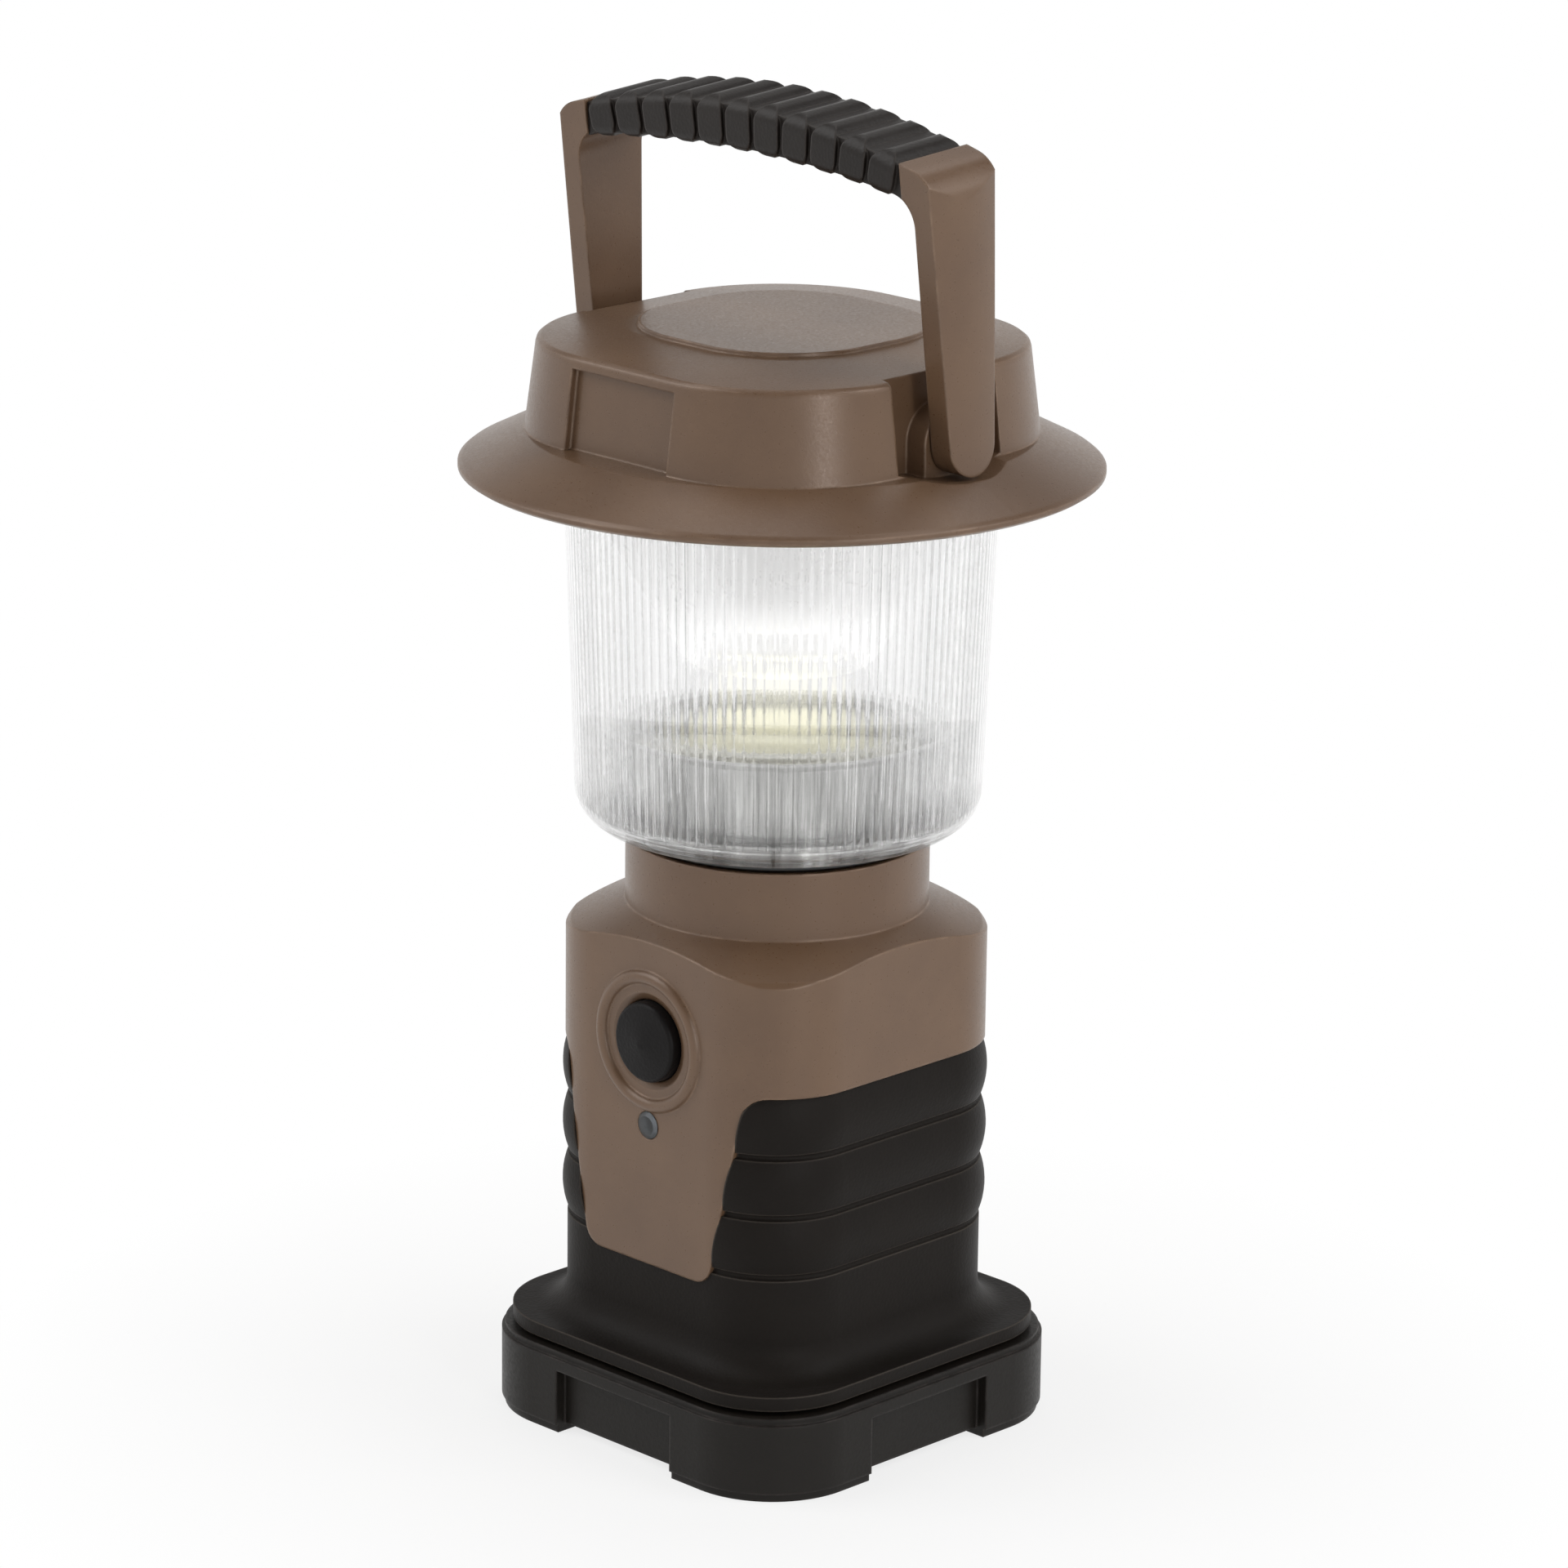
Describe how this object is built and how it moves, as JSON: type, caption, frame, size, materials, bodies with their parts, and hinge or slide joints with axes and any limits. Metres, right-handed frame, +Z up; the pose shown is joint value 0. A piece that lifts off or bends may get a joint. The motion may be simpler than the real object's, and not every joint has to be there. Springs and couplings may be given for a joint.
{
  "type": "camping_lantern",
  "caption": "Small battery camping lantern with a fluted clear globe, a mirrored cone under a brown hat-shaped cap, a folding bail handle, a round push button and a ribbed black rubber sleeve.",
  "frame": {"origin": "On the ground, at the middle of the base", "axes": "+Z up, the front with the button faces -Y, the handle's pivots lie along X"},
  "size_m": [0.0756, 0.0756, 0.1614],
  "materials": {
    "brown_plastic": "satin metallic bronze-brown moulded plastic",
    "black_base_plastic": "matt black-brown moulded plastic",
    "black_rubber": "matt black rubber",
    "black_gloss": "shiny black seal",
    "clear_plastic": "clear polycarbonate",
    "chrome": "vacuum-metallised mirror",
    "silver_plastic": "silver-grey lamp holder",
    "grey_plastic": "dark grey moulded plastic",
    "white_plastic": "white moulded plastic",
    "phosphor": "yellow phosphor coat",
    "aluminium": "plain aluminium sheet",
    "steel": "zinc-plated steel",
    "brass": "turned brass",
    "board_green": "green lacquered circuit board",
    "wire_red": "insulated lead",
    "cell_wrap": "plain printed film round a steel cell"
  },
  "bodies": {
    "base": {"base_cover": "black_base_plastic", "base_seal": "black_rubber", "battery_carrier": "grey_plastic", "aa_cells": "cell_wrap", "cell_springs": "steel", "contact_strips": "steel", "pickup_springs": "steel", "carrier_screws": "steel"},
    "lock_screw": {"lock_screw": "steel", "lock_clip": "steel"},
    "lantern": {"body_shell": "brown_plastic", "grip_sleeve": "black_rubber", "switch_housing": "grey_plastic", "switch_board": "board_green", "indicator_lens": "clear_plastic", "indicator_led": "white_plastic", "driver_board": "board_green", "driver_screws": "steel", "thread_insert": "brass", "lead_wires": "wire_red", "deck_screws": "steel", "neck_seal": "black_gloss", "globe": "clear_plastic", "lamp_holder": "silver_plastic", "heat_sink": "aluminium", "led_board": "white_plastic", "led_emitter": "phosphor", "led_screws": "steel", "led_lens": "clear_plastic", "cone_reflector": "chrome", "reflector_screws": "steel", "top_cap": "brown_plastic"},
    "button": {"power_button": "black_rubber", "switch_plunger": "white_plastic"},
    "handle": {"handle_frame": "brown_plastic", "handle_grip": "black_rubber", "pivot_washers": "steel", "pivot_screws": "steel"}
  },
  "joints": [
    {"name": "lantern_lift", "type": "slide", "parent": "base", "child": "lantern", "axis": [0, 0, 1], "range_m": [0, 0.065]},
    {"name": "lock_screw_turn", "type": "hinge", "parent": "base", "child": "lock_screw", "pos_m": [0, 0, 0.004], "axis": [0, 0, 1], "continuous": true},
    {"name": "button_press", "type": "slide", "parent": "lantern", "child": "button", "axis": [0, 1, 0], "range_m": [0, 0.0008], "stiffness_N_per_m": 1500},
    {"name": "handle_fold", "type": "hinge", "parent": "lantern", "child": "handle", "pos_m": [0, 0, 0.1244], "axis": [1, 0, 0], "range_deg": [-84, 76]}
  ]
}
